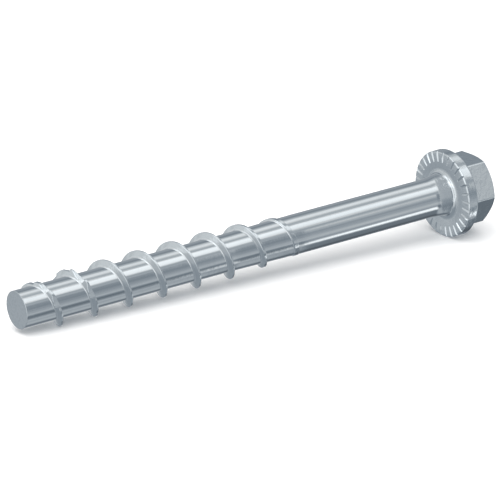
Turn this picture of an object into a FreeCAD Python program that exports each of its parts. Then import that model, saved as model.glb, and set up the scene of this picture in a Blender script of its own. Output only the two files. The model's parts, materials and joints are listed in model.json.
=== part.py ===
"""Concrete screw: a steel screw with a hexagon flange head and a coarse thread that cuts
its own groove in a drilled hole.

One piece of steel. The blank is headed, with a plain shank, a washer-like flange and the
hexagon. The thread is rolled on it: one right-handed ridge, notched into teeth along its
first turns, that fades out where the root widens into the plain shank. The flange has
radial grooves underneath, so that the seated head doesn't work loose.

The screw is built standing on its tip: the origin is the centre of the tip's face, +Z runs
to the head, and +X points out of one flat of the hexagon. It is then laid on its side, as
it comes to rest: on the flange's rim and on one crest of the thread.
"""
import FreeCAD, Part
import math
import os
import Sketcher

NODE = "concrete_screw"

# Driving sizes: millimetres and degrees
SIZES = [
    ("under_head_length", 100.0, "tip to the flange's underside"),
    ("shank_dia", 7.88, "plain shank"),
    ("root_dia", 7.40, "bottom of the thread"),
    ("tip_rounding", 0.25, "edge of the tip's face"),
    ("run_out_start", 47.8, "station where crest and root begin to meet"),
    ("run_out_end", 63.8, "station where the crest is down to the shank"),
    ("pitch", 7.78, "one turn of the thread"),
    ("thread_dia", 10.16, "across the crests"),
    ("crest_land", 0.34, "flat width along the crest"),
    ("flank_angle", 19.6, "each flank, from square to the axis"),
    ("foot_rounding", 0.45, "where the flanks meet the root"),
    ("thread_start", 3.6, "station of the crest where the thread begins"),
    ("thread_start_turn", -51.2, "angle there, from +X"),
    ("first_crest_dia", 8.6, "across the crest where the thread begins"),
    ("lead_in_turn", 200.0, "turn over which the crest grows to full height"),
    ("tooth_turn", 45.0, "turn from one notch to the next"),
    ("notch_floor_deep", 4.0, "axis to the floor of a deep notch"),
    ("notch_floor_middle", 4.7, "axis to the floor of a middling notch"),
    ("notch_floor_shallow", 4.93, "axis to the floor of a shallow notch"),
    ("neck_length", 3.8, "cone between shank and flange"),
    ("neck_dia", 8.6, "neck at the flange"),
    ("neck_rounding", 1.1, "where neck and flange meet"),
    ("dish_dia", 12.8, "rim of the shallow dish around the neck"),
    ("dish_floor_dia", 11.0, "floor of that dish"),
    ("dish_depth", 0.22, "depth of that dish"),
    ("flange_front_dia", 17.6, "flange at its underside"),
    ("flange_dia", 17.82, "flange at the back of its rim"),
    ("flange_rim", 2.28, "height of the rim"),
    ("flange_rise", 0.95, "cone from the rim up to the hexagon"),
    ("collar_dia", 14.2, "top of that cone"),
    ("flange_edge", 0.4, "rounding of the rim's front edge"),
    ("flange_back_edge", 0.3, "rounding of the rim's back edge"),
    ("wrench_size", 12.9, "across the flats"),
    ("head_height", 8.46, "underside of the flange to the top of the head"),
    ("crown_dia", 12.4, "flat top inside the chamfer"),
    ("crown_angle", 31.7, "chamfer on the corners, from square to the axis"),
    ("groove_count", 30.0, "radial grooves under the flange"),
    ("groove_inner_dia", 13.4, "where they begin"),
    ("groove_inner_width", 0.32, "their width there"),
    ("groove_inner_depth", 0.14, "their depth there"),
    ("groove_outer_width", 0.62, "their width at the rim"),
    ("groove_outer_depth", 0.36, "their depth at the rim"),
    ("lying_turn", 3.5, "turn about its axis in which the screw lies"),
]

# Depth of each notch along the thread, from its start
NOTCHES = (
    "deep", "deep", "deep", "shallow", "shallow", "middle", "middle", "middle",
    "middle", "deep", "deep", "shallow", "shallow",
)

STEP_TURN = 15.0        # degrees between the points that a ridge edge runs through
STEPS_PER_FACE = 6      # such steps along one face of the ridge
BURIED = 0.36           # how far the ridge reaches into the core
BURIED_TURN = 180.0     # how far it runs on inside the shank
FOOT_OVERLAP = 0.06     # how far the foot's last facet dips under the root
FOOT_SPREAD = 1.5       # that facet's end, in tangent lengths from the flank's corner
CUT_CLEARANCE = 0.5     # how far a cutter stands out of what it cuts
NOTCH_REACH = 0.33      # a notch's cutter back from its wall, as a share of thread_dia
NOTCH_HEIGHT = 0.5      # that cutter's height, as a share of the pitch
NOTCH_DROP = 0.3        # its bottom below the crest, as a share of the pitch

doc = FreeCAD.newDocument(NODE)


def add_sheet():
    """Driving sizes, one to a row: what it is, the value, and its alias."""
    sizes = doc.addObject("Spreadsheet::Sheet", "Sizes")
    for row, (alias, value, meaning) in enumerate(SIZES, start=1):
        sizes.set("A%d" % row, meaning)
        sizes.set("B%d" % row, str(value))
        sizes.setAlias("B%d" % row, alias)
    doc.recompute()
    return sizes


sheet = add_sheet()


def number(expression):
    """Value of an expression that names sizes of the sheet."""
    result = sheet.evalExpression(expression)
    return float(getattr(result, "Value", result))


def size(alias):
    """Value of one size of the sheet."""
    return float(sheet.get(alias))


# Sketches

def origin_plane(body, role):
    """One of the body's own origin planes."""
    return next(item for item in body.Origin.OriginFeatures if item.Role == role)


def add_sketch(body, name, role, offset=None):
    """Sketch on an origin plane of the body, moved along its normal by an expression."""
    sketch = body.newObject("Sketcher::SketchObject", name)
    sketch.AttachmentSupport = [(origin_plane(body, role), "")]
    sketch.MapMode = "FlatFace"
    if offset is not None:
        sketch.setExpression("AttachmentOffset.Base.z", offset)
    doc.recompute()
    return sketch


def pin_point(sketch, line, axis, expression):
    """Holds a line's first point at a distance from the origin, or on the axis if that is None."""
    if expression is None:
        other_axis = -2 if axis == "X" else -1
        sketch.addConstraint(Sketcher.Constraint("PointOnObject", line, 1, other_axis))
        return
    value = number(expression)
    index = sketch.addConstraint(Sketcher.Constraint("Distance" + axis, -1, 1, line, 1, value))
    name = "point%d_%s" % (line, axis.lower())
    sketch.renameConstraint(index, name)
    sketch.setExpression("Constraints." + name, expression)


def draw_outline(sketch, corners):
    """Closed outline of straight lines. Each corner is two expressions, or None for zero."""
    points = [FreeCAD.Vector(*[0 if item is None else number(item) for item in corner], 0)
              for corner in corners]
    count = len(points)
    for index, start in enumerate(points):
        sketch.addGeometry(Part.LineSegment(start, points[(index + 1) % count]))
    for index in range(count):
        following = (index + 1) % count
        sketch.addConstraint(Sketcher.Constraint("Coincident", index, 2, following, 1))
    for index, (across, along) in enumerate(corners):
        pin_point(sketch, index, "X", across)
        pin_point(sketch, index, "Y", along)
    doc.recompute()


def draw_hexagon(sketch, corner_radius, turn):
    """Regular hexagon about the origin, with its first corner at the given angle."""
    radius = number(corner_radius)
    circle = sketch.addGeometry(Part.Circle(FreeCAD.Vector(), FreeCAD.Vector(0, 0, 1), radius), True)
    sketch.addConstraint(Sketcher.Constraint("Coincident", circle, 3, -1, 1))
    index = sketch.addConstraint(Sketcher.Constraint("Radius", circle, radius))
    sketch.renameConstraint(index, "corner_radius")
    sketch.setExpression("Constraints.corner_radius", corner_radius)
    corners = []
    for corner in range(6):
        angle = math.radians(turn + 60 * corner)
        corners.append(FreeCAD.Vector(radius * math.cos(angle), radius * math.sin(angle), 0))
    sides = [sketch.addGeometry(Part.LineSegment(corners[i], corners[(i + 1) % 6])) for i in range(6)]
    for place, side in enumerate(sides):
        sketch.addConstraint(Sketcher.Constraint("Coincident", side, 2, sides[(place + 1) % 6], 1))
        sketch.addConstraint(Sketcher.Constraint("PointOnObject", side, 1, circle))
    for side in sides[1:]:
        sketch.addConstraint(Sketcher.Constraint("Equal", sides[0], side))
    sketch.addConstraint(Sketcher.Constraint("Vertical", sides[5]))
    doc.recompute()


# Blank: shank, flange and hexagon head

def add_turned_form(body):
    """Everything round: tip, root, plain shank, neck, flange and the cone behind it."""
    sketch = add_sketch(body, "turned_profile", "XZ_Plane")
    draw_outline(sketch, [
        (None, None),
        ("Sizes.root_dia / 2", None),
        ("Sizes.root_dia / 2", "Sizes.run_out_start"),
        ("Sizes.shank_dia / 2", "Sizes.run_out_end"),
        ("Sizes.shank_dia / 2", "Sizes.under_head_length - Sizes.neck_length"),
        ("Sizes.neck_dia / 2", "Sizes.under_head_length + Sizes.dish_depth"),
        ("Sizes.dish_floor_dia / 2", "Sizes.under_head_length + Sizes.dish_depth"),
        ("Sizes.dish_dia / 2", "Sizes.under_head_length"),
        ("Sizes.flange_front_dia / 2", "Sizes.under_head_length"),
        ("Sizes.flange_dia / 2", "Sizes.under_head_length + Sizes.flange_rim"),
        ("Sizes.collar_dia / 2",
         "Sizes.under_head_length + Sizes.flange_rim + Sizes.flange_rise"),
        (None, "Sizes.under_head_length + Sizes.flange_rim + Sizes.flange_rise"),
    ])
    form = body.newObject("PartDesign::Revolution", "turned_form")
    form.Profile = sketch
    form.ReferenceAxis = (sketch, ["V_Axis"])
    form.Angle = 360
    doc.recompute()
    return form


def add_hexagon(body):
    """Hexagon for the wrench, pushed up out of the flange. A flat faces +X."""
    sketch = add_sketch(body, "hexagon_outline", "XY_Plane",
                        "Sizes.under_head_length + Sizes.flange_rim / 2")
    draw_hexagon(sketch, "Sizes.wrench_size / 2 / cos(30)", 30)
    hexagon = body.newObject("PartDesign::Pad", "hexagon")
    hexagon.Profile = sketch
    hexagon.setExpression("Length", "Sizes.head_height - Sizes.flange_rim / 2")
    doc.recompute()
    return hexagon


def add_crown(body):
    """Chamfer turned on the hexagon's corners around the flat top."""
    reach = "(Sizes.wrench_size / 2 / cos(30) + %g)" % CUT_CLEARANCE
    top = "Sizes.under_head_length + Sizes.head_height"
    drop = "(%s - Sizes.crown_dia / 2) * tan(Sizes.crown_angle)" % reach
    sketch = add_sketch(body, "crown_profile", "XZ_Plane")
    draw_outline(sketch, [
        ("Sizes.crown_dia / 2", top),
        (reach, "%s - %s" % (top, drop)),
        (reach, "%s + %g" % (top, CUT_CLEARANCE)),
        ("Sizes.crown_dia / 2", "%s + %g" % (top, CUT_CLEARANCE)),
    ])
    crown = body.newObject("PartDesign::Groove", "crown")
    crown.Profile = sketch
    crown.ReferenceAxis = (sketch, ["V_Axis"])
    crown.Angle = 360
    doc.recompute()
    return crown


def round_edges(shape, radius, station):
    """Names of the round edges of this radius at this station along the axis."""
    names = []
    for index, edge in enumerate(shape.Edges, start=1):
        if not isinstance(edge.Curve, Part.Circle):
            continue
        at_station = abs(edge.Curve.Center.z - station) < 1e-4
        if at_station and abs(edge.Curve.Radius - radius) < 1e-4:
            names.append("Edge%d" % index)
    return names


def add_rounding(body, name, base, radius, station, rounding):
    """Rounds the round edge of this radius at this station."""
    fillet = body.newObject("PartDesign::Fillet", name)
    fillet.Base = (base, round_edges(base.Shape, number(radius), number(station)))
    fillet.setExpression("Radius", rounding)
    doc.recompute()
    return fillet


def add_groove_section(body, name, distance, width, depth):
    """V across the flange's underside, apex up, at a distance from the axis along +X."""
    sketch = add_sketch(body, name, "YZ_Plane", distance)
    outside = "Sizes.under_head_length - Sizes.%s" % depth
    draw_outline(sketch, [
        (None, "Sizes.under_head_length + Sizes.%s" % depth),
        ("-Sizes.%s" % width, outside),
        ("Sizes.%s" % width, outside),
    ])
    return sketch


def add_grooves(body):
    """Radial grooves that hold the seated head, wider and deeper towards the rim."""
    inner = add_groove_section(body, "groove_inner_end", "Sizes.groove_inner_dia / 2",
                               "groove_inner_width", "groove_inner_depth")
    outer = add_groove_section(body, "groove_outer_end",
                               "Sizes.flange_dia / 2 + %g" % CUT_CLEARANCE,
                               "groove_outer_width", "groove_outer_depth")
    groove = body.newObject("PartDesign::SubtractiveLoft", "groove")
    groove.Profile = inner
    groove.Sections = [outer]
    groove.Ruled = True
    doc.recompute()
    ring = body.newObject("PartDesign::PolarPattern", "groove_ring")
    ring.Originals = [groove]
    ring.Axis = (add_sketch(body, "axis_of_the_ring", "XY_Plane"), ["N_Axis"])
    ring.Angle = 360
    ring.Occurrences = int(size("groove_count"))
    ring.setExpression("Occurrences", "Sizes.groove_count")
    body.Tip = ring
    doc.recompute()
    return ring


def add_blank():
    """The headed blank, as a body."""
    body = doc.addObject("PartDesign::Body", "blank")
    add_turned_form(body)
    add_hexagon(body)
    crown = add_crown(body)
    tip = add_rounding(body, "tip_edge", crown, "Sizes.root_dia / 2", "0",
                       "Sizes.tip_rounding")
    neck = add_rounding(body, "neck_corner", tip, "Sizes.neck_dia / 2",
                        "Sizes.under_head_length + Sizes.dish_depth", "Sizes.neck_rounding")
    front = add_rounding(body, "flange_front_edge", neck, "Sizes.flange_front_dia / 2",
                         "Sizes.under_head_length", "Sizes.flange_edge")
    add_rounding(body, "flange_rear_edge", front, "Sizes.flange_dia / 2",
                 "Sizes.under_head_length + Sizes.flange_rim", "Sizes.flange_back_edge")
    add_grooves(body)
    return body


# Thread: one ridge along a helix, lower at both ends

def station_at(turn):
    """Distance of the crest from the tip, at an angle from +X that counts on past 360."""
    return size("thread_start") + size("pitch") * (turn - size("thread_start_turn")) / 360


def turn_at(station):
    """Angle at which the crest passes a station."""
    return size("thread_start_turn") + 360 * (station - size("thread_start")) / size("pitch")


def crest_radius(turn):
    """Radius of the crest: it grows along the lead-in and sinks along the run-out."""
    full = size("thread_dia") / 2
    first = size("first_crest_dia") / 2
    grown = (turn - size("thread_start_turn")) / size("lead_in_turn")
    if grown < 1:
        return first + (full - first) * grown
    run_out = size("run_out_end") - size("run_out_start")
    faded = max(0.0, (station_at(turn) - size("run_out_start")) / run_out)
    return full - (full - size("shank_dia") / 2) * faded


def ridge_section():
    """Corners of the ridge's section: offset along the axis, and depth under the crest."""
    height = (size("thread_dia") - size("root_dia")) / 2
    flank = math.radians(size("flank_angle"))
    land = size("crest_land") / 2
    corner = land + height * math.tan(flank)
    rounding = size("foot_rounding")
    tangent = rounding * math.tan((math.pi / 2 - flank) / 2)
    flank_end = (corner - tangent * math.sin(flank), height - tangent * math.cos(flank))
    centre = (corner + tangent, height - rounding)
    reach = math.hypot(tangent, rounding)
    middle = (centre[0] - rounding * tangent / reach, centre[1] + rounding * rounding / reach)
    foot = (corner + tangent * FOOT_SPREAD, height + FOOT_OVERLAP)
    inside = (foot[0], height + BURIED)
    one_side = [(land, 0.0), flank_end, middle, foot, inside]
    other_side = [(-offset, depth) for offset, depth in reversed(one_side)]
    return one_side + other_side


def corner_edges(offset, depth, turns):
    """Curve that one corner of the section follows along the thread, in short edges."""
    points = []
    for turn in turns:
        radius = crest_radius(turn) - depth
        angle = math.radians(turn)
        points.append(FreeCAD.Vector(radius * math.cos(angle), radius * math.sin(angle),
                                     station_at(turn) + offset))
    curve = Part.BSplineCurve()
    curve.interpolate(points)
    ends = curve.getKnots()[::STEPS_PER_FACE]
    return [curve.toShape(start, finish) for start, finish in zip(ends, ends[1:])]


def strip(first_edges, second_edges):
    """Faces between two neighbouring corners of the section."""
    return [Part.makeRuledSurface(*pair) for pair in zip(first_edges, second_edges)]


def end_face(corners):
    """Flat face across the ridge through the corners of its section."""
    return Part.Face(Part.makePolygon(corners + corners[:1]))


def add_ridge():
    """The thread's ridge, from its blunt start to where it is buried in the shank."""
    first = size("thread_start_turn")
    last = turn_at(size("run_out_end")) + BURIED_TURN
    face_count = int(round((last - first) / (STEP_TURN * STEPS_PER_FACE)))
    steps = face_count * STEPS_PER_FACE
    turns = [first + (last - first) * step / steps for step in range(steps + 1)]
    edges = [corner_edges(offset, depth, turns) for offset, depth in ridge_section()]
    faces = []
    for place, own_edges in enumerate(edges):
        faces += strip(own_edges, edges[(place + 1) % len(edges)])
    faces.append(end_face([own_edges[0].firstVertex().Point for own_edges in edges]))
    faces.append(end_face([own_edges[-1].lastVertex().Point for own_edges in edges]))
    solid = Part.Solid(Part.Shell(faces))
    if solid.Volume < 0:
        solid.reverse()
    ridge = doc.addObject("Part::Feature", "thread_ridge")
    ridge.Shape = solid
    return ridge


def add_notch(place, kind):
    """Cutter of one notch: a wall along the radius and a floor square to it."""
    notch = doc.addObject("Part::Box", "notch_%02d" % place)
    wall = "(Sizes.thread_start_turn + %d * Sizes.tooth_turn)" % place
    floor = "Sizes.notch_floor_%s" % kind
    reach = "%g * Sizes.thread_dia" % NOTCH_REACH
    crest = "Sizes.thread_start + Sizes.pitch * %d * Sizes.tooth_turn / 360" % place
    notch.setExpression("Length", "Sizes.thread_dia / 2 - %s + %g" % (floor, CUT_CLEARANCE))
    notch.setExpression("Width", reach)
    notch.setExpression("Height", "%g * Sizes.pitch" % NOTCH_HEIGHT)
    notch.setExpression("Placement.Rotation.Angle", wall)
    notch.setExpression("Placement.Base.x", "%s * cos(%s) + %s * sin(%s)"
                        % (floor, wall, reach, wall))
    notch.setExpression("Placement.Base.y", "%s * sin(%s) - %s * cos(%s)"
                        % (floor, wall, reach, wall))
    notch.setExpression("Placement.Base.z", "%s - %g * Sizes.pitch" % (crest, NOTCH_DROP))
    return notch


def add_notches():
    """Cutters of all the notches, in the order of the thread."""
    cutters = doc.addObject("Part::Compound", "notches")
    cutters.Links = [add_notch(place, kind) for place, kind in enumerate(NOTCHES, start=1)]
    doc.recompute()
    return cutters


# The whole screw, laid down

def lay_down(screw):
    """Turns the axis to +X and lowers the tip until the rim and a crest touch the ground."""
    rim_station = size("under_head_length") + size("flange_rim") - size("flange_back_edge")
    rim_radius = size("flange_dia") / 2
    below = 180 - size("lying_turn")
    full_from = size("thread_start_turn") + size("lead_in_turn")
    crest_turn = below + 360 * math.ceil((full_from - below) / 360)
    rise = rim_radius - crest_radius(crest_turn)
    tilt = math.degrees(math.atan2(rise, rim_station - station_at(crest_turn)))
    turn = FreeCAD.Rotation(FreeCAD.Vector(0, 0, 1), size("lying_turn"))
    lie = FreeCAD.Rotation(FreeCAD.Vector(0, 1, 0), 90 - tilt)
    upright = FreeCAD.Rotation(FreeCAD.Vector(0, 0, 1), 180)
    rotation = lie.multiply(upright).multiply(turn)
    screw.Placement = FreeCAD.Placement(FreeCAD.Vector(), rotation)
    box = screw.Shape.optimalBoundingBox(False)
    base = FreeCAD.Vector(-box.Center.x, -box.Center.y, -box.ZMin)
    screw.Placement = FreeCAD.Placement(base, rotation)


def check(objects, shape):
    """Stops if any object failed, or if the screw's shape isn't one sound solid."""
    for item in objects:
        if "Invalid" in item.State or "Error" in item.State:
            raise RuntimeError("%s failed: %s" % (item.Name, item.State))
    if shape.isNull() or not shape.isValid() or len(shape.Solids) != 1:
        raise RuntimeError("the screw isn't one sound solid")


blank = add_blank()
rolled = doc.addObject("Part::Fuse", "rolled_blank")
rolled.Base = blank
rolled.Tool = add_ridge()
screw = doc.addObject("Part::Cut", NODE)
screw.Label = NODE
screw.Base = rolled
screw.Tool = add_notches()
doc.recompute()
lay_down(screw)
doc.recompute()
check(doc.Objects, screw.Shape)
os.makedirs("parts", exist_ok=True)
screw.Shape.exportStep("parts/%s.step" % NODE)
print(NODE, "volume", round(screw.Shape.Volume, 1), "box",
      screw.Shape.optimalBoundingBox(False), "placed", screw.Placement)
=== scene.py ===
"""Concrete screw with a hexagon flange head, as it lies on a pale table.

The skin of the wire is wound first, with the thread and its teeth. Then come the shank, the
flange, the hexagon, the locking grooves and the zinc plate, and last the camera and studio.
"""
import json
import math
import bmesh
import bpy
from mathutils import Matrix, Vector


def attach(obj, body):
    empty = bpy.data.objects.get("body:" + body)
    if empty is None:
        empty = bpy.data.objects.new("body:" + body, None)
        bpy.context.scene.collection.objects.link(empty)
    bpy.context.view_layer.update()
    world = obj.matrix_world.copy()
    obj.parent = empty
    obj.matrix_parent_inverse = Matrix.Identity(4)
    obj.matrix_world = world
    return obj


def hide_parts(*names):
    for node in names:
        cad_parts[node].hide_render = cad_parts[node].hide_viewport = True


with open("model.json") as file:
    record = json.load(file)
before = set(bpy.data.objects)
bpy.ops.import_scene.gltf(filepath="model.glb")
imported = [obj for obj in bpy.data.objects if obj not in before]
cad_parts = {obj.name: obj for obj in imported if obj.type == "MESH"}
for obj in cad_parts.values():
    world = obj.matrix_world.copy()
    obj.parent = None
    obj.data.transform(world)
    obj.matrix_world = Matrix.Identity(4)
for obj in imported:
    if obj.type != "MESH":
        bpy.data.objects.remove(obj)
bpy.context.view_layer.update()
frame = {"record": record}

# How the screw lies
# The real screw rests on its flange's rim and on one crest near the tip, so its axis rises
# a little towards the head. It is modelled upright on its tip, then laid into the frame.
MM = 0.001
HEAD_TOP = 108.46
TIP_MOUNT = 1.35          # the tip mount's distance from the tip's face
LYING_TURN = 3.5          # degrees about its own axis

mounts = {mount["name"]: Vector(mount["pos_m"]) for mount in frame["record"]["mounts"]}
axis = (mounts["hexagon"] - mounts["pilot_tip"]).normalized()
tip = mounts["pilot_tip"] - axis * TIP_MOUNT * MM
rise = math.asin(axis.z)
laid_down = (Matrix.Translation(tip)
             @ Matrix.Rotation(math.pi / 2 - rise, 4, "Y")
             @ Matrix.Rotation(math.pi + math.radians(LYING_TURN), 4, "Z"))

# Rolled thread
# One right-handed ridge, squeezed up out of the wire between two dies. The skin is one
# pitch of plain wire wound up along the helix, and the ridge then rises out of it.
ROOT = 3.70
SHANK = 3.94
RUN_OUT = (47.8, 63.8)    # where crest and root begin to meet, and where they have met
PITCH = 7.78
CREST = 5.08
LAND = 0.17               # half the flat along the crest
FLANK = math.tan(math.radians(19.6))
CREST_EDGE = 0.17         # softness of the crest's two edges
FOOT = 0.20               # softness of the corner between flank and root
START = (3.6, -51.2)      # station and angle of the blunt first end
FIRST_CREST = 4.3
LEAD_IN = 200.0
TURNS = 8
STEPS = 144               # round the wire
BEFORE = 2.6              # of each pitch, this much lies on the tip's side of the crest
NEAR_CREST = (0, 0.07, 0.12, 0.16, 0.20, 0.24, 0.29, 0.35, 0.41, 0.47, 0.53, 0.59, 0.66,
              0.74, 0.84, 0.98, 1.2, 1.6)
VALLEY = (2.4, 3.3, 4.2)  # the row's points between the ridge's foot and the next turn
STEP = 360 / STEPS
SLACK = 0.01              # points closer than this, in millimetres, count as one place


def root_at(station):
    """Radius of the wire under the thread. It widens along the run-out."""
    share = (station - RUN_OUT[0]) / (RUN_OUT[1] - RUN_OUT[0])
    return ROOT + (SHANK - ROOT) * min(1, max(0, share))


def softly_higher(first, second, softness):
    """The larger of two radii, with the corner between them rounded."""
    near = max(0, softness - abs(first - second)) / softness
    return max(first, second) + softness * near * near / 4


def place(vert):
    """Angle in degrees and station in millimetres of a point of the upright screw."""
    return math.degrees(math.atan2(vert.co.y, vert.co.x)), vert.co.z / MM


def put(vert, radius, angle, station):
    """Moves a point of the upright screw."""
    turn = math.radians(angle)
    vert.co = Vector((radius * math.cos(turn), radius * math.sin(turn), station)) * MM


def crest_near(angle, station):
    """How far the thread has turned at the crest nearest to a place."""
    turned = (angle - START[1]) % 360
    laps = round((station - START[0] - PITCH * turned / 360) / PITCH)
    return turned + 360 * laps


def wound_wire():
    """The wire's skin along the thread: a row of one pitch, turned and raised step by step."""
    bm = bmesh.new()
    near = [-step for step in NEAR_CREST[:0:-1]] + list(NEAR_CREST)
    row = [-BEFORE] + near + list(VALLEY) + [PITCH - BEFORE]
    first_angle = START[1] - STEP
    first_crest = START[0] - PITCH * STEP / 360
    verts = [bm.verts.new((ROOT * MM, 0, (first_crest + step) * MM)) for step in row]
    for lower, upper in zip(verts, verts[1:]):
        bm.edges.new((lower, upper))
    bmesh.ops.rotate(bm, verts=verts, cent=(0, 0, 0),
                     matrix=Matrix.Rotation(math.radians(first_angle), 3, "Z"))
    bmesh.ops.spin(bm, geom=verts + bm.edges[:], cent=(0, 0, 0), axis=(0, 0, 1),
                   dvec=(0, 0, PITCH / STEPS * MM), angle=math.tau, steps=STEPS)
    bmesh.ops.spin(bm, geom=bm.verts[:] + bm.edges[:] + bm.faces[:], cent=(0, 0, 0),
                   axis=(0, 0, 1), dvec=(0, 0, PITCH * MM), angle=math.tau * (TURNS - 1),
                   steps=TURNS - 1, use_duplicate=True)
    bmesh.ops.remove_doubles(bm, verts=bm.verts[:], dist=SLACK / 2 * MM)
    first_end = first_crest + PITCH - BEFORE + SLACK
    last_start = first_crest + PITCH * TURNS - BEFORE - SLACK
    seam = [vert for vert in bm.verts
            if abs(math.remainder(place(vert)[0] - first_angle, 360)) < STEP / 4]
    first = [vert for vert in seam if vert.co.z < first_end * MM]
    last = [vert for vert in seam if vert.co.z > last_start * MM]
    bmesh.ops.pointmerge(bm, verts=first, merge_co=max(first, key=lambda vert: vert.co.z).co)
    bmesh.ops.pointmerge(bm, verts=last, merge_co=min(last, key=lambda vert: vert.co.z).co)
    return bm


def open_ring(bm, upper):
    """Edges of the skin's open ring at the head's end, or at the tip's."""
    middle = sum(vert.co.z for vert in bm.verts) / len(bm.verts)
    edges = [edge for edge in bm.edges if edge.is_boundary]
    return [edge for edge in edges if (edge.verts[0].co.z > middle) == upper]


def carry_on(bm, edges, outline):
    """Lengthens the skin from an open ring, through radii and stations of a turned outline."""
    for radius, station in outline:
        made = bmesh.ops.extrude_edge_only(bm, edges=edges)["geom"]
        for vert in [item for item in made if isinstance(item, bmesh.types.BMVert)]:
            angle, _ = place(vert)
            put(vert, radius, angle, station)
        edges = [item for item in made if isinstance(item, bmesh.types.BMEdge)
                 and all(abs(vert.co.z / MM - station) < SLACK for vert in item.verts)]
        edges = [edge for edge in edges if edge.is_boundary]
    return edges


# Teeth
# Along its first turns the ridge is notched, so that it saws its way into the concrete.
# A notch has a wall along the radius and a floor square to it, one every 45 degrees.
TOOTH = 45.0
FLOORS = (4.0, 4.0, 4.0, 4.93, 4.93, 4.7, 4.7, 4.7, 4.7, 4.0, 4.0, 4.93, 4.93)
WALL = 0.35               # degrees that a tooth's wall leans


def notched(turned, radius):
    """Radius of the crest after the notches are cut."""
    place_in_row = math.ceil(turned / TOOTH - 1e-6)
    if not 1 <= place_in_row <= len(FLOORS):
        return radius
    behind = math.radians(place_in_row * TOOTH - turned)
    if behind < math.radians(WALL / 2):
        return radius
    return min(radius, FLOORS[place_in_row - 1] / math.cos(behind))


def crest_at(turned):
    """Radius of the crest, from the blunt start through the teeth to the run-out."""
    if turned < -WALL / 2:
        return 0
    radius = min(CREST, FIRST_CREST + (CREST - FIRST_CREST) * max(0, turned) / LEAD_IN)
    station = START[0] + PITCH * turned / 360
    faded = max(0, (station - RUN_OUT[0]) / (RUN_OUT[1] - RUN_OUT[0]))
    return notched(turned, radius - (CREST - SHANK) * faded)


def ridge_radius(turned, offset, root):
    """Radius of the skin at a distance along the axis from the crest's middle."""
    flank = CREST - (abs(offset) - LAND) / FLANK
    ridge = -softly_higher(-crest_at(turned), -flank, CREST_EDGE)
    return softly_higher(root, ridge, FOOT)


def raise_ridge(bm):
    """Lifts the skin to the ridge. The points before a tooth's wall are drawn up to it."""
    last_wall = TOOTH * len(FLOORS)
    for vert in bm.verts:
        angle, station = place(vert)
        turned = crest_near(angle, station)
        offset = station - START[0] - PITCH * turned / 360
        to_wall = (-turned) % TOOTH
        if STEP / 2 < to_wall < STEP * 1.5 and turned < last_wall:
            drawn = to_wall - WALL
            angle, turned = angle + drawn, turned + drawn
            station += PITCH * drawn / 360
        put(vert, ridge_radius(turned, offset, root_at(station)), angle, station)


# Shank, neck and flange
# The same wire: plain shank, a neck that widens, and a flange upset from it in the header.
# The flange's underside has a shallow dish round the neck, and its rim is slightly tapered.
UNDER_HEAD = 100.0
NECK = (96.2, 4.3)
TIP_EDGE = 0.06
SHANK_RINGS = (72.0, 84.0)
DISH = (5.5, 6.4, 0.22)
FLANGE_FRONT = 8.86
FLANGE_BACK = 8.91
RIM = 2.28
COLLAR = (7.1, 0.95)
ROUNDINGS = (
    (ROOT, 0.0, TIP_EDGE, 4),
    (SHANK, NECK[0], 0.6, 3),
    (NECK[1], UNDER_HEAD + DISH[2], 0.85, 7),
    (FLANGE_FRONT, UNDER_HEAD, 0.34, 5),
    (FLANGE_BACK, UNDER_HEAD + RIM, 0.26, 4),
)


def ring_edges(bm, radius, station):
    """Edges of the round ring at a radius and a station."""
    def on_ring(vert):
        return (abs(vert.co.z / MM - station) < SLACK
                and abs(vert.co.xy.length / MM - radius) < SLACK)
    return [edge for edge in bm.edges if all(on_ring(vert) for vert in edge.verts)]


def close_end(bm, edges):
    """Flat round face on an open ring."""
    bmesh.ops.contextual_create(bm, geom=edges)


def headed_wire():
    """The whole round form with its thread, closed at both ends."""
    bm = wound_wire()
    raise_ridge(bm)
    close_end(bm, carry_on(bm, open_ring(bm, False), [(ROOT, TIP_EDGE * 2), (ROOT, 0.0)]))
    back = UNDER_HEAD + RIM
    outline = [(SHANK, station) for station in SHANK_RINGS]
    outline += [(SHANK, NECK[0]), (NECK[1], UNDER_HEAD + DISH[2]),
                (DISH[0], UNDER_HEAD + DISH[2]), (DISH[1], UNDER_HEAD),
                (FLANGE_FRONT, UNDER_HEAD), (FLANGE_BACK, back),
                (COLLAR[0], back + COLLAR[1])]
    close_end(bm, carry_on(bm, open_ring(bm, True), outline))
    for radius, station, offset, segments in ROUNDINGS:
        bmesh.ops.bevel(bm, geom=ring_edges(bm, radius, station), offset=offset * MM,
                        segments=segments, profile=0.5, affect="EDGES", material=-1,
                        offset_type="OFFSET")
    bmesh.ops.recalc_face_normals(bm, faces=bm.faces[:])
    return bm


def as_object(name, bm):
    """Object of its own from an upright mesh."""
    mesh = bpy.data.meshes.new(name)
    bm.to_mesh(mesh)
    bm.free()
    made = bpy.data.objects.new(name, mesh)
    bpy.context.scene.collection.objects.link(made)
    return made


screw = as_object("screw", headed_wire())


# Hexagon
# Forged on the flange in the same header. The wrench takes its six flats, and a chamfer is
# turned on its corners. The head is smooth from the die, with edges that are barely broken.
WRENCH = 12.9
SUNK = 1.1                # the hexagon starts this far inside the flange
CORNER = 0.2
CROWN = (6.2, 31.7)       # radius of the flat top, and slope of the chamfer


def combine(piece, operation, other):
    """Joins, cuts or trims one solid with another, and keeps the result as its mesh."""
    change = piece.modifiers.new(operation.lower(), "BOOLEAN")
    change.operation = operation
    change.object = other
    change.solver = "MANIFOLD"
    graph = bpy.context.evaluated_depsgraph_get()
    result = bpy.data.meshes.new_from_object(piece.evaluated_get(graph))
    piece.modifiers.remove(change)
    piece.data = result
    bpy.data.objects.remove(other)


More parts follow.
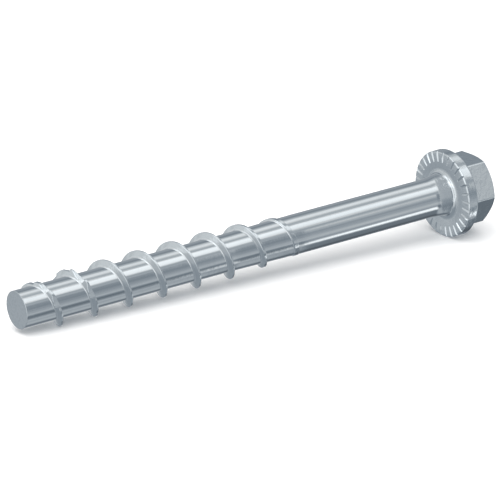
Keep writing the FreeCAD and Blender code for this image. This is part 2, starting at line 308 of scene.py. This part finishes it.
def hexagon():
    """Six-sided bar with its long edges broken."""
    height = HEAD_TOP - UNDER_HEAD - SUNK
    middle = Matrix.Translation((0, 0, (HEAD_TOP - height / 2) * MM))
    radius = WRENCH / 2 / math.cos(math.radians(30)) * MM
    bm = bmesh.new()
    bmesh.ops.create_cone(bm, cap_ends=True, segments=6, radius1=radius, radius2=radius,
                          depth=height * MM, matrix=middle)
    long_edges = [edge for edge in bm.edges
                  if abs(edge.verts[0].co.z - edge.verts[1].co.z) > height / 2 * MM]
    bmesh.ops.bevel(bm, geom=long_edges, offset=CORNER * MM, segments=4, profile=0.5,
                    affect="EDGES", material=-1, offset_type="OFFSET")
    return as_object("hexagon", bm)


def crown():
    """Cone that the chamfer is turned to."""
    height = HEAD_TOP - UNDER_HEAD - SUNK
    middle = Matrix.Translation((0, 0, (HEAD_TOP - height / 2) * MM))
    foot = CROWN[0] + height / math.tan(math.radians(CROWN[1]))
    bm = bmesh.new()
    bmesh.ops.create_cone(bm, cap_ends=True, segments=STEPS * 2, radius1=foot * MM,
                          radius2=CROWN[0] * MM, depth=height * MM, matrix=middle)
    return as_object("crown", bm)


head = hexagon()
combine(head, "INTERSECT", crown())
combine(screw, "UNION", head)


# Locking grooves
# Thirty radial grooves pressed into the flange's underside. They widen and deepen towards
# the rim, bite into the part that is fixed, and keep the screw from working loose.
GROOVES = 30
GROOVE_INNER = (6.7, 0.32, 0.14)      # distance from the axis, width, depth
GROOVE_OUTER = (9.41, 0.62, 0.36)
SHARP = 34                # degrees between two faces, past which their edge shows


def grooves():
    """Ring of wedges, apex up, that the grooves are cut with."""
    bm = bmesh.new()
    for distance, width, depth in (GROOVE_INNER, GROOVE_OUTER):
        bm.verts.new(Vector((distance, 0, UNDER_HEAD + depth)) * MM)
        bm.verts.new(Vector((distance, -width, UNDER_HEAD - depth)) * MM)
        bm.verts.new(Vector((distance, width, UNDER_HEAD - depth)) * MM)
    bmesh.ops.convex_hull(bm, input=bm.verts[:])
    bmesh.ops.spin(bm, geom=bm.verts[:] + bm.edges[:] + bm.faces[:], cent=(0, 0, 0),
                   axis=(0, 0, 1), angle=math.tau * (GROOVES - 1) / GROOVES,
                   steps=GROOVES - 1, use_duplicate=True)
    bmesh.ops.recalc_face_normals(bm, faces=bm.faces[:])
    return as_object("grooves", bm)


combine(screw, "DIFFERENCE", grooves())
screw.data.transform(laid_down)
screw.data.shade_smooth()
screw.data.set_sharp_from_angle(angle=math.radians(SHARP))
even = screw.modifiers.new("even_shading", "WEIGHTED_NORMAL")
even.keep_sharp = True
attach(screw, "root")
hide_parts("concrete_screw")
screw.visible_glossy = False          # the photo shows no mirror images of the screw in itself


# Zinc plate
# Electroplated zinc with a pale blue passivation, a few microns thick. On the drawn wire it
# is bright, with marks along the shank. On the rolled flanks and the head it is duller.
BRIGHT = (0.595, 0.65, 0.69, 1)
DULL = (0.515, 0.575, 0.62, 1)
SQUEEZED = (4.0, 4.12)    # the duller skin begins between these radii
MARKS_SCALE = 1700.0      # per metre across the wire
MARKS_ALONG = 0.012       # along the wire, as a share of that
MOTTLE_SCALE = 900.0
CLOUD_SCALE = 220.0
DULLNESS = (0.15, 0.6)    # of the wire, and how much more where it is squeezed
UNEVEN = (2.4, 0.5, 0.5)  # how much marks, mottle and clouds change that
SATIN = (0.07, 0.02)      # roughness of the wire, and how much more where it is squeezed
SATIN_MOTTLE = 0.06
MARKS_HEIGHT = 0.8
MOTTLE_HEIGHT = (0.25, 1.8)   # on the wire, and how much more where it is squeezed
RELIEF = (0.3, 0.00008)   # strength, and depth in metres


class Shade:
    """A socket of a material's nodes, with the arithmetic that the finish needs."""

    def __init__(self, tree, socket):
        self.tree, self.socket = tree, socket

    def node(self, kind, settings=None, output=0, **sockets):
        """Output of a new node. Settings are set first, then its sockets by name or number."""
        made = self.tree.nodes.new("ShaderNode" + kind)
        for name, value in (settings or {}).items():
            setattr(made, name, value)
        for name, value in sockets.items():
            number = int(name[2:]) if name.startswith("in") and name[2:].isdigit() else None
            target = made.inputs[name.replace("_", " ") if number is None else number]
            if isinstance(value, Shade):
                self.tree.links.new(value.socket, target)
            else:
                target.default_value = value
        return Shade(self.tree, made.outputs[output])

    def maths(self, operation, other=0.0, clamp=False):
        return self.node("Math", {"operation": operation, "use_clamp": clamp},
                         in0=self, in1=other)

    def __add__(self, other):
        return self.maths("ADD", other)

    def __sub__(self, other):
        return self.maths("SUBTRACT", other)

    def __rsub__(self, other):
        return self.node("Math", {"operation": "SUBTRACT"}, in0=other, in1=self)

    def __mul__(self, other):
        return self.maths("MULTIPLY", other)

    __radd__, __rmul__ = __add__, __mul__

    def dot(self, vector):
        return self.node("VectorMath", {"operation": "DOT_PRODUCT"}, output=1,
                         in0=self, in1=tuple(vector))

    def between(self, low, high, first=0.0, second=1.0):
        """First value below low, second above high, and a smooth step from one to the other."""
        return self.node("MapRange", {"interpolation_type": "SMOOTHSTEP"}, in0=self,
                         in1=low, in2=high, in3=first, in4=second)

    def mixed(self, first, second):
        """Colour between two, by this mask."""
        return self.node("Mix", {"data_type": "RGBA"}, output=2, in0=self, in6=first, in7=second)


def shading(material):
    """Node tree of a material, and its principled shader."""
    material.use_nodes = True
    tree = material.node_tree
    return tree, tree.nodes["Principled BSDF"]


def zinc_plate():
    """Bright on the drawn wire, duller and mottled on what the dies have squeezed."""
    material = bpy.data.materials.new("zinc_plate")
    tree, shader = shading(material)
    start = Shade(tree, None)
    point = start.node("TexCoord", output=3)
    upright = start.node("Mapping", {"vector_type": "TEXTURE"}, Vector=point,
                         Location=tip, Rotation=laid_down.to_euler())
    parts = tree.nodes.new("ShaderNodeSeparateXYZ")
    tree.links.new(upright.socket, parts.inputs[0])
    across, beside, station = [Shade(tree, output) for output in parts.outputs]
    radius = (across * across + beside * beside).maths("POWER", 0.5) * (1 / MM)
    squeezed = radius.between(*SQUEEZED)
    drawn = start.node("Mapping", {"vector_type": "POINT"}, Vector=upright,
                       Scale=(1, 1, MARKS_ALONG))
    marks = start.node("TexNoise", {"noise_dimensions": "3D"}, Vector=drawn,
                       Scale=MARKS_SCALE, Detail=3.0, Roughness=0.55)
    mottle = start.node("TexNoise", {"noise_dimensions": "3D"}, Vector=upright,
                        Scale=MOTTLE_SCALE, Detail=4.0, Roughness=0.6)
    cloud = start.node("TexNoise", {"noise_dimensions": "3D"}, Vector=upright,
                       Scale=CLOUD_SCALE, Detail=2.0, Roughness=0.5)
    by_marks, by_mottle, by_cloud = UNEVEN
    dull = squeezed * DULLNESS[1] + (mottle - 0.5) * by_mottle + (cloud - 0.5) * by_cloud
    dull = dull + DULLNESS[0] + (marks - 0.5) * (1 - squeezed) * by_marks
    colour = dull.maths("ADD", 0.0, True).mixed(BRIGHT, DULL)
    rough = SATIN[0] + SATIN[1] * squeezed + (mottle - 0.5) * SATIN_MOTTLE
    height = marks * (1 - squeezed) * MARKS_HEIGHT
    height = height + mottle * (MOTTLE_HEIGHT[0] + MOTTLE_HEIGHT[1] * squeezed)
    bump = start.node("Bump", Strength=RELIEF[0], Distance=RELIEF[1], Height=height)
    tree.links.new(colour.socket, shader.inputs["Base Color"])
    tree.links.new(rough.socket, shader.inputs["Roughness"])
    tree.links.new(bump.socket, shader.inputs["Normal"])
    shader.inputs["Metallic"].default_value = 1.0
    return material


screw.data.materials.clear()
screw.data.materials.append(zinc_plate())


# Camera
# Above the tip and to its left, with a long lens, as in the photograph.
CAMERA = Vector((-379.85, -541.39, 231.88)) * MM
LOOK = Vector((0.54229, 0.77550, -0.32330))
LENS = 259.2
SENSOR = 36
CLIP = (0.01, 50)          # metres

camera = bpy.data.objects.new("camera", bpy.data.cameras.new("camera"))
camera.data.lens = LENS
camera.data.sensor_width = SENSOR
camera.data.clip_start, camera.data.clip_end = CLIP
camera.location = CAMERA
camera.rotation_mode = "QUATERNION"
camera.rotation_quaternion = LOOK.to_track_quat("-Z", "Y")
bpy.context.scene.collection.objects.link(camera)
bpy.context.scene.camera = camera


# Studio
# A white table that runs up into a white wall, one large soft lamp overhead, and round the
# screw the long soft boxes and dark flags that draw streaks along bright metal.
TABLE_RADIUS = 3.0
WALL_CORNER = 0.8
WALL_HEIGHT = 3.0
WHITE = (0.96, 0.965, 0.97, 1)
LAMP_POWER = 36.0
LAMP_SIZE = 4.0
LAMP_PLACE = (-0.5, -0.6, 1.9)

# Strips round the screw's axis: degrees upward from the direction that faces the camera, and
# brightness. The low ones take the place of the others below the camera, where the threaded
# half of the screw mirrors them.
STRIPS = (
    (-180, 0.50), (-160, 0.34), (-150, 0.24), (-138, 0.13), (-128, 0.16), (-116, 0.25),
    (-94, 0.25), (-86, 0.42), (-80, 1.60), (-73, 1.60), (-67, 0.60), (-61, 0.42),
    (-48, 0.71), (-36, 0.57), (-20, 0.44), (-12, 0.50), (3, 0.84), (14, 0.50), (20, 0.62),
    (29, 1.25), (48, 1.44), (54, 1.12), (60, 0.64), (66, 0.56), (72, 0.74), (80, 1.12),
    (90, 1.14), (102, 0.64), (114, 0.34), (136, 0.46), (158, 0.40), (180, 0.50),
)
LOW_STRIPS = (
    (-180, 0.80), (-160, 0.60), (-150, 0.42), (-137, 0.20), (-129, 0.24), (-116, 0.60),
    (-104, 0.60), (-92, 0.54), (-83, 0.62), (-73, 0.32), (-66, 0.24), (-59, 0.26),
    (-48, 0.64), (-30, 0.45), (-16, 0.36), (2, 0.38),
)
BRIGHTEST = 1.6           # of all the strips

# The rest of the sky is made of windows with soft edges, each edge from where it begins to
# where it ends. REACH is measured along the axis, from -1 towards the tip to 1 towards the
# head, TURN in degrees round it, as the strips are, and RISE upward, from -1 to 1.
LOW_REACH = (0.506, 0.544)            # the low strips end here
LOW_TURN = (2, 14)
FAR_REACH = (0.15, 0.30)              # the strips are dimmed under the screw's far side
FAR_TURN = (-165, -150)
FAR_LOSS = 0.4
HEAD_REACH = (0.70, 0.90)             # beyond the head, where the strips would run together,
HEAD_LEVEL = 0.5                      # there is one even level
SIDE_REACH = (-0.20, -0.05)           # here the strips give way to the light from the tip's side
TIP_LEVELS = (0.43, 0.55, 0.79)       # that light from low down, level and from above
LOW_RISE = (-0.75, -0.30)
HIGH_RISE = (-0.30, 0.10)
FLANGE_REACH = ((-0.68, -0.62), (-0.545, -0.515))   # more of it where the flange's face looks
FLANGE_RISE = (-0.39, -0.335)
FLANGE_GAIN = 0.14
FLANK_REACH = (-0.85, -0.65)          # more of it where the thread's flanks look
FLANK_RISE = (-0.74, -0.50)
FLANK_GAIN = 0.16
AHEAD_REACH = (-0.99, -0.955)         # and more from straight ahead of the tip
AHEAD_GAIN = 0.30
PANEL_REACH = (-1.0, -0.93)           # two panels beside the camera begin here,
PANEL_GAP = ((-0.77, -0.73), (-0.64, -0.60))        # with a gap between them
PANEL_TURN = ((-100, -50), (75, 110))
PANEL_LEVEL = 1.0
PANEL_STRIPS = 0.75                   # how much the strips show on them
NECK_REACH = ((0.22, 0.30), (0.42, 0.465))          # the neck's cone sees the tip's side too
NECK_SHARE = 0.78
TINTED = (0.1, 0.9)                   # light turns from cool to neutral between these levels
COOL = (0.88, 0.99, 1.10, 1)
NEUTRAL = (1.02, 1.0, 0.98, 1)


def table():
    """Round table top, rounded up into a wall."""
    bm = bmesh.new()
    corners = [(0, 0), (TABLE_RADIUS, 0), (TABLE_RADIUS, WALL_HEIGHT)]
    verts = [bm.verts.new((across, 0, up)) for across, up in corners]
    edges = [bm.edges.new(pair) for pair in zip(verts, verts[1:])]
    bmesh.ops.bevel(bm, geom=[verts[1]], offset=WALL_CORNER, segments=12, profile=0.5,
                    affect="VERTICES", material=-1)
    bmesh.ops.spin(bm, geom=bm.verts[:] + bm.edges[:], cent=(0, 0, 0), axis=(0, 0, 1),
                   angle=math.tau, steps=96, use_merge=True)
    bmesh.ops.remove_doubles(bm, verts=bm.verts[:], dist=MM)
    bmesh.ops.recalc_face_normals(bm, faces=bm.faces[:])
    made = as_object("table", bm)
    made.data.shade_smooth()
    paint = bpy.data.materials.new("white_paint")
    tree, shader = shading(paint)
    shader.inputs["Base Color"].default_value = WHITE
    shader.inputs["Roughness"].default_value = 0.9
    shader.inputs["Specular IOR Level"].default_value = 0.0
    made.data.materials.append(paint)
    for rays in ("glossy", "diffuse", "shadow", "transmission"):
        setattr(made, "visible_" + rays, False)


def lamp():
    """Large soft lamp overhead, for the shadow on the table."""
    made = bpy.data.objects.new("lamp", bpy.data.lights.new("lamp", "AREA"))
    made.data.shape = "DISK"
    made.data.size = LAMP_SIZE
    made.data.energy = LAMP_POWER
    made.location = LAMP_PLACE
    made.rotation_euler = (-Vector(LAMP_PLACE)).to_track_quat("-Z", "Y").to_euler()
    made.visible_glossy = False
    bpy.context.scene.collection.objects.link(made)


def striped(turned, strips):
    """Brightness by the angle round the screw's axis."""
    ramp = turned.node("ValToRGB", in0=turned * (1 / 360) + 0.5)
    stops = ramp.socket.node.color_ramp.elements
    stops.remove(stops[1])
    stops[0].position = 0.0
    for degrees, _ in strips[1:]:
        stops.new(degrees / 360 + 0.5)
    for stop, (_, light) in zip(stops, strips):
        stop.color = [light / BRIGHTEST] * 3 + [1]
    return ramp.node("RGBToBW", in0=ramp) * BRIGHTEST


def window(value, rising, falling):
    """Mask that is one between two soft edges."""
    return value.between(*rising) * value.between(*falling, 1.0, 0.0)


def side_strips(along, turned):
    """The strips, as the screw's sides see them."""
    low = along.between(*LOW_REACH, 1.0, 0.0) * turned.between(*LOW_TURN, 1.0, 0.0)
    strips = striped(turned, STRIPS) * (1 - low) + striped(turned, LOW_STRIPS) * low
    far = turned.between(*FAR_TURN, 1.0, 0.0) * along.between(*FAR_REACH, 1.0, 0.0)
    end = along.between(*HEAD_REACH)
    return strips * (1 - far * FAR_LOSS) * (1 - end) + end * HEAD_LEVEL


def tip_light(along, up):
    """Soft light from the tip's side, as the flanks, the flange and the tip's face see it."""
    low, level, high = TIP_LEVELS
    light = up.between(*LOW_RISE, low, level) + up.between(*HIGH_RISE, 0.0, high - level)
    flange = window(along, *FLANGE_REACH) * up.between(*FLANGE_RISE)
    flank = along.between(*FLANK_REACH, 1.0, 0.0) * up.between(*FLANK_RISE)
    ahead = along.between(*AHEAD_REACH, 1.0, 0.0)
    return light + flange * FLANGE_GAIN + flank * FLANK_GAIN + ahead * AHEAD_GAIN


def panels(along, turned):
    """Mask of the two panels beside the camera."""
    first_end, second_start = PANEL_GAP
    both = along.between(*first_end, 1.0, 0.0) + along.between(*second_start)
    return window(turned, *PANEL_TURN) * both * along.between(*PANEL_REACH)


def sky():
    """World light: strips along the screw's axis, and soft light from the tip's side."""
    world = bpy.data.worlds.new("studio")
    world.use_nodes = True
    tree = world.node_tree
    start = Shade(tree, None)
    ray = start.node("TexCoord", output=0)
    front = (-LOOK + axis * LOOK.dot(axis)).normalized()
    over = axis.cross(front) * (1 if axis.cross(front).z > 0 else -1)
    along = ray.dot(axis)
    turned = start.node("Math", {"operation": "ARCTAN2"}, in0=ray.dot(over), in1=ray.dot(front))
    turned = turned * (180 / math.pi)
    strips = side_strips(along, turned)
    tip_side = tip_light(along, ray.dot((0, 0, 1)))
    facing = panels(along, turned)
    lit = tip_side * (1 - facing) + (strips * PANEL_STRIPS + PANEL_LEVEL) * facing
    neck = window(along, *NECK_REACH)
    side = along.between(*SIDE_REACH) * (1 - neck)
    light = strips * side + (lit * (1 - neck) + tip_side * neck * NECK_SHARE) * (1 - side)
    tint = light.between(*TINTED).mixed(COOL, NEUTRAL)
    background = tree.nodes["Background"]
    tree.links.new(tint.socket, background.inputs["Color"])
    tree.links.new(light.socket, background.inputs["Strength"])
    bpy.context.scene.world = world


table()
lamp()
sky()
bpy.context.scene.view_settings.view_transform = "Standard"
